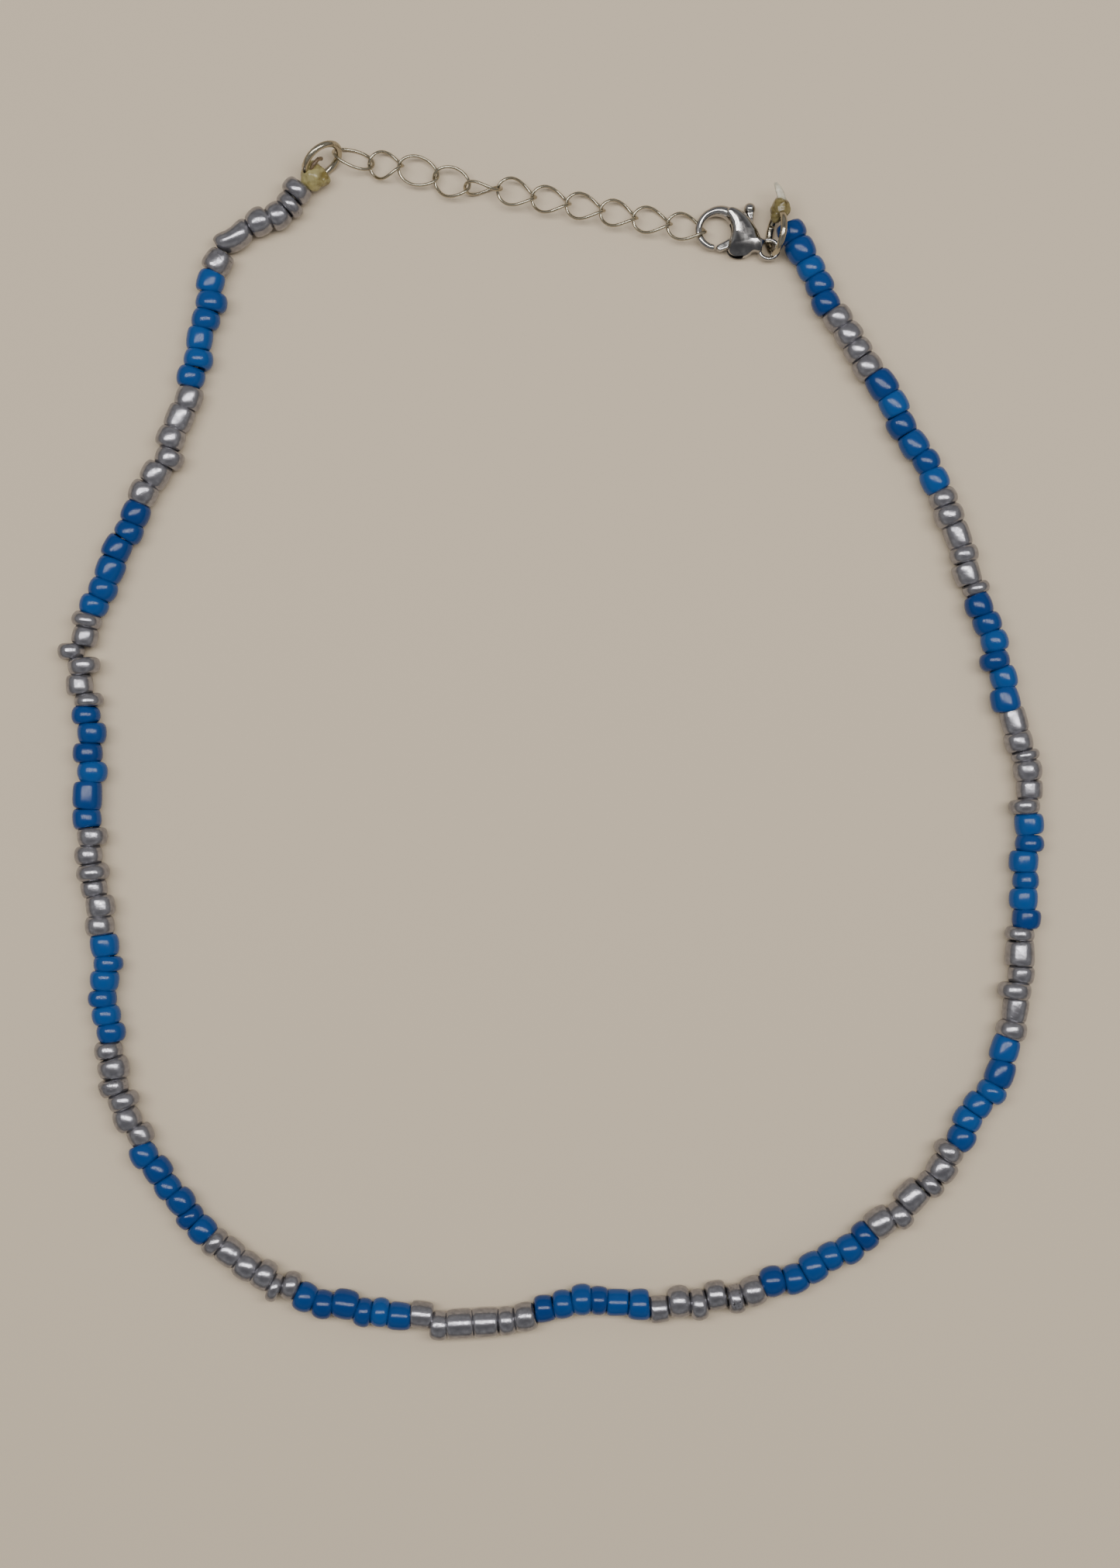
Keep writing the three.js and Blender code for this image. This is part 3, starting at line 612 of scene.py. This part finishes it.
# How far short of the ridge line the dome's first and last layers stop, as a cosine
DOME_END = 0.02
# Upper edge of the facet along the shell's lower rim, and how steeply it falls away
FACET_EDGE = ((2.5, -0.75), (5.6, 0.65))
FACET_TOP = 1.32
FACET_FALL = math.radians(18)
# The block that cuts the facet: how far it starts before the edge, its length, width and height
FACET_BLOCK = (2, 8, 5, 3)
LEVER_ROOM = [
    (0.75, -3.4), (0.75, 0.9), (2.1, 1.75), (2.75, 2.5), (2.5, 4.4), (6.2, 4.4), (5.6, 2.3), (5.0, 1.0),
    (4.95, -0.9), (4.3, -3.4),
]
# Size of the voxels and rounds of smoothing, of the body before and after its holes, and the lever
BODY_JOINED = (0.05, 8)
BODY_HOLED = (0.045, 5)
LEVER_JOINED = (0.05, 4)
SHARP_EDGE = math.radians(25)


def nearest_on_line(points, line):
    """For each point, the nearest point of a line through corners."""
    found = np.empty_like(points)
    best = np.full(len(points), np.inf)
    for a, b in zip(np.array(line[:-1], float), np.array(line[1:], float)):
        share = np.clip((points - a) @ (b - a) / np.dot(b - a, b - a), 0, 1)
        foot = a + share[:, None] * (b - a)
        apart = np.linalg.norm(points - foot, axis=1)
        nearer = apart < best
        found[nearer] = foot[nearer]
        best[nearer] = apart[nearer]
    return found


def dome(outline, ridge, depth, power, layers=14, steps=8):
    """A form that swells from its outline to its ridge line, on both sides."""
    dense = spline_closed(outline, steps)
    inward = nearest_on_line(dense, ridge) - dense
    rows = []
    for turn in np.linspace(-math.pi / 2, math.pi / 2, 2 * layers + 1):
        share = 1 - max(math.cos(turn), DOME_END) ** (2 / power)
        height = math.copysign(abs(math.sin(turn)) ** (2 / power), turn) * depth / 2
        rows.append(np.column_stack([dense + inward * share, np.full(len(dense), height)]))
    return np.concatenate(rows), tube_faces(2 * layers + 1, len(dense), False)


def facet_tool():
    """A block whose lower side is the facet."""
    (x0, y0), (x1, y1) = FACET_EDGE
    along = unit(np.array([x1 - x0, y1 - y0, 0.0]))
    out = np.cross(along, UP)
    slope = out * math.cos(FACET_FALL) - UP * math.sin(FACET_FALL)
    lead, length, width, height = FACET_BLOCK
    corner = np.array([x0, y0, FACET_TOP]) - along * lead
    rise = np.cross(slope, along) * height
    near = [corner, corner + slope * width, corner + slope * width + rise, corner + rise]
    faces = [[0, 1, 2, 3], [7, 6, 5, 4], [0, 4, 5, 1], [1, 5, 6, 2], [2, 6, 7, 3], [3, 7, 4, 0]]
    return np.array(near + [p + along * length for p in near]), faces


EYE_STEPS = 40
EYE_SIDES = 14


def clasp_body():
    eye_radius = (EYE_HOLE + EYE_WIRE) / 2
    eye_path = ring_points(np.array([*EYE_PLACE, 0.0]), X, Y, eye_radius, eye_radius, EYE_STEPS)
    eye = sweep(eye_path, EYE_WIRE / 2, EYE_SIDES, closed=True, flatten=EYE_DEPTH_SHARE)
    shell = dome(SHELL, RIDGE, CLASP_THICKNESS, DOME_POWER)
    body = raw_object("clasp_shell", [shell, hook(), eye])
    remesh(body, *BODY_JOINED)
    cut(body, raw_object("opening", [upright((0, 0), HOOK_OPENING, 2 * CLASP_THICKNESS, sides=64)]))
    cut(body, raw_object("eye_hole", [upright(EYE_PLACE, EYE_HOLE, 2 * CLASP_THICKNESS, sides=48)]))
    remesh(body, *BODY_HOLED)
    room_depth = LEVER_THICKNESS + 2 * LEVER_CLEARANCE
    cut(body, raw_object("room", [pillow(LEVER_ROOM, room_depth, rounding=0.0, layers=1)]))
    cut(body, raw_object("facet", [facet_tool()]))
    body.data.set_sharp_from_angle(angle=SHARP_EDGE)
    place(body, "necklace", "clasp_steel", "clasp_body")


KNOB_ROWS = 13
KNOB_SIDES = 24
# Widths of the lever's bars: at the hub, at the tab's neck and at its knob, and the tab's depth
LEVER_ROOT = HUB_DIAMETER * 0.8
LEVER_NECK = GATE_WIDTH * 0.6
TAB_END = TAB_KNOB_DIAMETER * 0.85
TAB_THICKNESS = LEVER_THICKNESS * 0.9


def knob():
    rows = []
    for row in range(KNOB_ROWS):
        turn = -math.pi / 2 + math.pi * (row + 0.5) / KNOB_ROWS
        middle = np.array([*TAB_KNOB, math.sin(turn) * TAB_KNOB_DIAMETER / 2])
        radius = math.cos(turn) * TAB_KNOB_DIAMETER / 2
        rows.append(ring_points(middle, X, Y, radius, radius, KNOB_SIDES))
    return np.concatenate(rows), tube_faces(KNOB_ROWS, KNOB_SIDES, False)


def clasp_lever():
    lever = raw_object("clasp_gate", [
        upright(PIVOT, HUB_DIAMETER, LEVER_THICKNESS),
        bar(PIVOT, GATE_TIP, LEVER_ROOT, GATE_WIDTH, LEVER_THICKNESS),
        bar(PIVOT, TAB_NECK, LEVER_ROOT, LEVER_NECK, LEVER_THICKNESS),
        bar(TAB_NECK, TAB_KNOB, LEVER_NECK, TAB_END, TAB_THICKNESS),
        knob(),
    ])
    remesh(lever, *LEVER_JOINED)
    cut(lever, raw_object("bore", [upright(PIVOT, PIN_DIAMETER + 2 * PIN_CLEARANCE, 2 * CLASP_THICKNESS)]))
    place(lever, "lever", "clasp_steel", "clasp_lever")


# Knots
# Bumps of the glue: the number of waves, and the ranges of their rates and their phases
LUMP_WAVES = 9
LUMP_RATES = (4, 10)
LUMP_PHASES = (0, 6)


def lump(middle, radii, bumps, seed):
    """A drop of glue: a ball stretched to its radii, with low bumps."""
    work = bmesh.new()
    bmesh.ops.create_icosphere(work, subdivisions=5, radius=1.0)
    rng = random.Random(seed)
    waves = []
    for _ in range(LUMP_WAVES):
        way = Vector((rng.gauss(0, 1), rng.gauss(0, 1), rng.gauss(0, 1))).normalized()
        waves.append((way, rng.uniform(*LUMP_RATES), rng.uniform(*LUMP_PHASES)))
    points = []
    for v in work.verts:
        height = sum(math.sin(rate * v.co.dot(way) + phase) for way, rate, phase in waves)
        swell = 1 + bumps * height / math.sqrt(LUMP_WAVES)
        points.append(np.array(middle) + np.array(v.co) * np.array(radii) * swell)
    faces = [[v.index for v in face.verts] for face in work.faces]
    work.free()
    return points, faces


def knot(side, lumps, tone):
    shape = Shape()
    for values in lumps:
        shape.add(*lump(*values), tone=tone)
    place(shape.piece(f"knot_{side}", GLUE), "necklace", "glue", f"thread_knot_{side}")


def knots():
    knot("left", KNOT_LEFT, KNOT_LEFT_TONE)
    loop = Shape()
    loop.add(*sweep(LOOP_PATH, LOOP_RADIUS, sides=10))
    place(loop.piece("thread_loop", BROWN_THREAD), "necklace", "glue")
    knot("right", KNOT_RIGHT, KNOT_RIGHT_TONE)
    tail = Shape()
    tail.add(*sweep(TAIL_PATH, TAIL_RADII, sides=12, flatten=TAIL_FLATNESS))
    place(tail.piece("thread_tail", THREAD), "necklace", "glue")


# Materials. Colours are linear, and where two are given, noise blends the dark and the light one
BLUE = (0.002, 0.05, 0.19)
BLUE_DARK = (0.0004, 0.026, 0.13)
BLUE_LIGHT = (0.002, 0.058, 0.218)
SILVER = (0.36, 0.36, 0.39)
SILVER_DARK = (0.205, 0.203, 0.225)
SILVER_LIGHT = (0.335, 0.331, 0.355)
PIT = (0.05, 0.045, 0.05, 1)
GLUE_YELLOW = (0.50, 0.45, 0.19)
FLOOR = (0.55, 0.462, 0.347)
# How much the clouds in the blue glass count beside the tone of each bead
CLOUD_SHARE = 0.35
# Metal: the least and the most roughness and the darkest shade, as shares of the given ones
METAL_ROUGHNESS = (0.75, 1.6)
METAL_DARK = 0.94


def material(name, color, roughness, metallic=0.0, **extra):
    """A new material, its node tree and its shader."""
    mat = bpy.data.materials.new(name)
    mat.use_nodes = True
    shader = mat.node_tree.nodes["Principled BSDF"]
    shader.inputs["Base Color"].default_value = (*color, 1)
    shader.inputs["Roughness"].default_value = roughness
    shader.inputs["Metallic"].default_value = metallic
    for label, value in extra.items():
        shader.inputs[label.replace("_", " ")].default_value = value
    return mat, mat.node_tree, shader


def node(tree, kind, **settings):
    """A new node, with its settings and the values of its inputs."""
    made = tree.nodes.new(kind)
    for label, value in settings.items():
        if hasattr(made, label):
            setattr(made, label, value)
        else:
            made.inputs[label.replace("_", " ")].default_value = value
    return made


def object_noise(tree, scale, detail=3.0):
    """Noise with a scale in features per millimetre."""
    where = node(tree, "ShaderNodeTexCoord")
    noise = node(tree, "ShaderNodeTexNoise", Scale=scale / MM, Detail=detail)
    tree.links.new(where.outputs["Object"], noise.inputs["Vector"])
    return noise.outputs["Fac"]


def feed(tree, socket, value):
    """Give an input a constant, or the output of another node."""
    if isinstance(value, bpy.types.NodeSocket):
        tree.links.new(value, socket)
    else:
        socket.default_value = value


def combine(tree, operation, first, second):
    """What a sum with two values gives."""
    made = node(tree, "ShaderNodeMath", operation=operation)
    feed(tree, made.inputs[0], first)
    feed(tree, made.inputs[1], second)
    return made.outputs["Value"]


# A mixing node's sockets for colours: the first colour, the second one and the result
MIX_FIRST = 6
MIX_SECOND = 7
MIX_RESULT = 2


def blend(tree, share, first, second):
    """A colour that goes from the first one to the second one as the share goes from 0 to 1."""
    made = node(tree, "ShaderNodeMix", data_type="RGBA")
    tree.links.new(share, made.inputs["Factor"])
    feed(tree, made.inputs[MIX_FIRST], first)
    feed(tree, made.inputs[MIX_SECOND], second)
    return made.outputs[MIX_RESULT]


def ramp(tree, source, stops):
    """The colour, or the grey value, that a value from 0 to 1 stands for."""
    made = node(tree, "ShaderNodeValToRGB")
    elements = made.color_ramp.elements
    for i, (at, value) in enumerate(stops):
        element = elements[i] if i < 2 else elements.new(at)
        element.position = at
        element.color = (*value, 1) if isinstance(value, tuple) else (value, value, value, 1)
    tree.links.new(source, made.inputs["Fac"])
    return made.outputs["Color"]


def bump(tree, shader, height, distance, strength):
    """Fine relief in the shader's normal, with its height in millimetres."""
    made = node(tree, "ShaderNodeBump", Strength=strength, Distance=distance * MM)
    tree.links.new(height, made.inputs["Height"])
    tree.links.new(made.outputs["Normal"], shader.inputs["Normal"])


def attribute(tree, label):
    """A value held at the mesh's points."""
    return node(tree, "ShaderNodeAttribute", attribute_name=label).outputs["Fac"]


def blue_glass():
    mat, tree, shader = material("blue_glass", BLUE, roughness=0.2, IOR=1.45, Specular_IOR_Level=0.4)
    tone = node(tree, "ShaderNodeMapRange", From_Min=TONE_RANGE[0], From_Max=TONE_RANGE[1])
    tree.links.new(attribute(tree, "tone"), tone.inputs["Value"])
    cloud = combine(tree, "MULTIPLY", object_noise(tree, scale=0.35), CLOUD_SHARE)
    shade = combine(tree, "ADD", tone.outputs["Result"], cloud)
    color = ramp(tree, shade, [(0.05, BLUE_DARK), (1.0, BLUE_LIGHT)])
    tree.links.new(color, shader.inputs["Base Color"])
    bump(tree, shader, object_noise(tree, scale=0.9, detail=2.0), distance=0.01, strength=0.3)
    return mat


def silver_glaze():
    mat, tree, shader = material("silver_glaze", SILVER, roughness=0.27, metallic=0.85)
    mottle = object_noise(tree, scale=1.6, detail=4.0)
    color = ramp(tree, mottle, [(0.3, SILVER_DARK), (0.7, SILVER_LIGHT)])
    pits = ramp(tree, object_noise(tree, scale=3.6, detail=2.5), [(0.61, 0.0), (0.66, 1.0)])
    worn = combine(tree, "MULTIPLY", pits, attribute(tree, "wear"))
    tree.links.new(blend(tree, worn, color, PIT), shader.inputs["Base Color"])
    rough = ramp(tree, mottle, [(0.3, 0.27), (0.7, 0.18)])
    tree.links.new(rough, shader.inputs["Roughness"])
    height = combine(tree, "SUBTRACT", object_noise(tree, scale=4.5), worn)
    bump(tree, shader, height, distance=0.04, strength=0.4)
    return mat


def metal(name, color, roughness, wear_scale, wear_depth):
    """Metal that is a little rougher in some places and a little darker in others."""
    mat, tree, shader = material(name, color, roughness, metallic=1.0)
    wear = object_noise(tree, wear_scale, detail=4.0)
    smooth, rubbed = (roughness * share for share in METAL_ROUGHNESS)
    rough = ramp(tree, wear, [(0.35, smooth), (0.7, rubbed)])
    tree.links.new(rough, shader.inputs["Roughness"])
    dark = tuple(c * METAL_DARK for c in color)
    shade = ramp(tree, wear, [(0.3, dark), (0.65, color)])
    tree.links.new(shade, shader.inputs["Base Color"])
    bump(tree, shader, wear, wear_depth, strength=0.4)
    return mat


def glue():
    mat, tree, shader = material("glue", GLUE_YELLOW, roughness=0.2, Transmission_Weight=0.45, IOR=1.48)
    cloud = object_noise(tree, scale=0.9)
    light = ramp(tree, cloud, [(0.35, (0.26, 0.20, 0.06)), (0.6, (0.52, 0.46, 0.21))])
    dark = ramp(tree, cloud, [(0.35, (0.10, 0.07, 0.02)), (0.6, (0.27, 0.22, 0.08))])
    color = blend(tree, attribute(tree, "tone"), light, dark)
    tree.links.new(color, shader.inputs["Base Color"])
    bump(tree, shader, object_noise(tree, scale=1.4), distance=0.15, strength=0.6)
    return mat


def thread_material(name, dark, light):
    mat, tree, shader = material(name, light, roughness=0.4, Transmission_Weight=0.3)
    fibre = object_noise(tree, scale=2.5, detail=2.0)
    color = ramp(tree, fibre, [(0.35, dark), (0.65, light)])
    tree.links.new(color, shader.inputs["Base Color"])
    bump(tree, shader, fibre, distance=0.03, strength=0.5)
    return mat


# Stage
def floor():
    bpy.ops.mesh.primitive_plane_add(size=1.6, location=(0, 0, 0))
    obj = bpy.context.object
    obj.name = "floor"
    mat, _, _ = material("floor", FLOOR, roughness=0.9)
    obj.data.materials.append(mat)


def area_light(name, location, size, power, color):
    """A flat lamp that shines at the middle of the floor."""
    data = bpy.data.lights.new(name, "AREA")
    data.shape = "RECTANGLE"
    data.size, data.size_y = size
    data.energy = power
    data.color = color
    obj = bpy.data.objects.new(name, data)
    obj.location = location
    obj.rotation_euler = (-Vector(location)).to_track_quat("-Z", "Y").to_euler()
    bpy.context.collection.objects.link(obj)
    return obj


# Lights: places and sizes in metres, powers in watts
STRIP_PLACES = [(0, y, 0.6) for y in (0.02, 0.09, 0.16)]
STRIP_SIZE = (1.0, 0.02)
STRIP_POWER = 1.75
STRIP_COLOR = (1.0, 0.98, 0.96)
CEILING_PLACE = (0.4, 0.5, 1.0)
CEILING_SIZE = (1.2, 1.2)
CEILING_POWER = 1.5
CEILING_COLOR = (1.0, 0.97, 0.93)
# The room round the object, from the horizon at 0 to straight up at 1, and how bright it is
ROOM_STRENGTH = 0.36
ROOM = [
    (0.0, (0.28, 0.26, 0.24)), (1.0, (0.18, 0.18, 0.20)), (0.28, (0.85, 0.82, 0.78)),
    (0.52, (1.1, 1.1, 1.1)), (0.82, (0.5, 0.51, 0.53)),
]


def lights():
    world = bpy.data.worlds.new("soft_room")
    bpy.context.scene.world = world
    world.use_nodes = True
    tree = world.node_tree
    background = tree.nodes["Background"]
    background.inputs["Strength"].default_value = ROOM_STRENGTH
    where = node(tree, "ShaderNodeTexCoord")
    parts = node(tree, "ShaderNodeSeparateXYZ")
    tree.links.new(where.outputs["Generated"], parts.inputs["Vector"])
    room = ramp(tree, parts.outputs["Z"], ROOM)
    tree.links.new(room, background.inputs["Color"])
    for i, strip in enumerate(STRIP_PLACES):
        area_light(f"strip_{i}", strip, STRIP_SIZE, STRIP_POWER, STRIP_COLOR)
    ceiling = area_light("ceiling", CEILING_PLACE, CEILING_SIZE, CEILING_POWER, CEILING_COLOR)
    ceiling.visible_glossy = False


def camera():
    data = bpy.data.cameras.new("camera")
    data.sensor_fit = "VERTICAL"
    data.sensor_height = SENSOR
    data.lens = SENSOR * CAMERA_HEIGHT / VIEW_SIZE[1]
    data.clip_start = 0.01
    obj = bpy.data.objects.new("camera", data)
    obj.location = (VIEW_MIDDLE[0] * MM, VIEW_MIDDLE[1] * MM, (CAMERA_HEIGHT + BEAD_DIAMETER / 2) * MM)
    bpy.context.collection.objects.link(obj)
    bpy.context.scene.camera = obj


BLUE_GLASS = blue_glass()
SILVER_GLAZE = silver_glaze()
PLATED_WIRE = metal("plated_wire", (0.43, 0.39, 0.30), roughness=0.20, wear_scale=1.2, wear_depth=0.002)
STEEL = metal("polished_steel", (0.41, 0.40, 0.39), roughness=0.12, wear_scale=1.0, wear_depth=0.002)
GLUE = glue()
THREAD = thread_material("thread", (0.52, 0.48, 0.36), (0.72, 0.68, 0.56))
BROWN_THREAD = thread_material("brown_thread", (0.13, 0.08, 0.04), (0.26, 0.18, 0.10))

camera()
lights()
floor()
bead_pieces()
chain_piece()
jump_ring("jump_ring_left", RING_LEFT, cut_at=math.radians(200))
jump_ring("jump_ring_right", RING_RIGHT, cut_at=math.radians(60))
knots()
clasp_body()
clasp_lever()
for pin_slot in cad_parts["clasp_pin"].material_slots:
    pin_slot.material = STEEL
